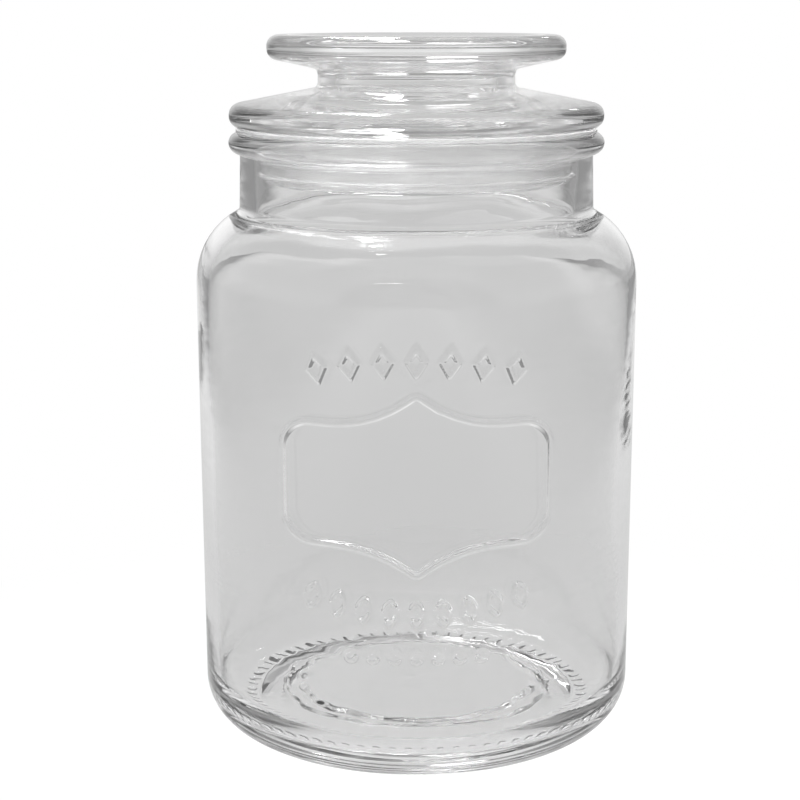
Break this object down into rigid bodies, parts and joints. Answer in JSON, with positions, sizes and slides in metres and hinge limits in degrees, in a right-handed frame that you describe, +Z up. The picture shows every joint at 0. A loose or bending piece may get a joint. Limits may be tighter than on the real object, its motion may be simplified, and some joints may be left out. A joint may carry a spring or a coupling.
{
  "type": "glass storage jar",
  "caption": "Clear glass storage jar with a rounded shoulder, a raised label frame on its front, and a knobbed glass lid that rests on a plastic seal.",
  "frame": {"origin": "middle of the base, on the surface the jar stands on", "axes": "+Z up along the jar's axis, -Y towards the front with the raised label frame, +X to the right seen from the front"},
  "size_m": [0.13, 0.1308, 0.2058],
  "materials": {
    "jar_glass": "clear soda-lime glass",
    "lid_glass": "clear pressed glass",
    "seal_plastic": "translucent soft plastic"
  },
  "bodies": {
    "root": {"jar": "jar_glass", "lid": "lid_glass", "seal_ring": "seal_plastic"}
  },
  "joints": []
}
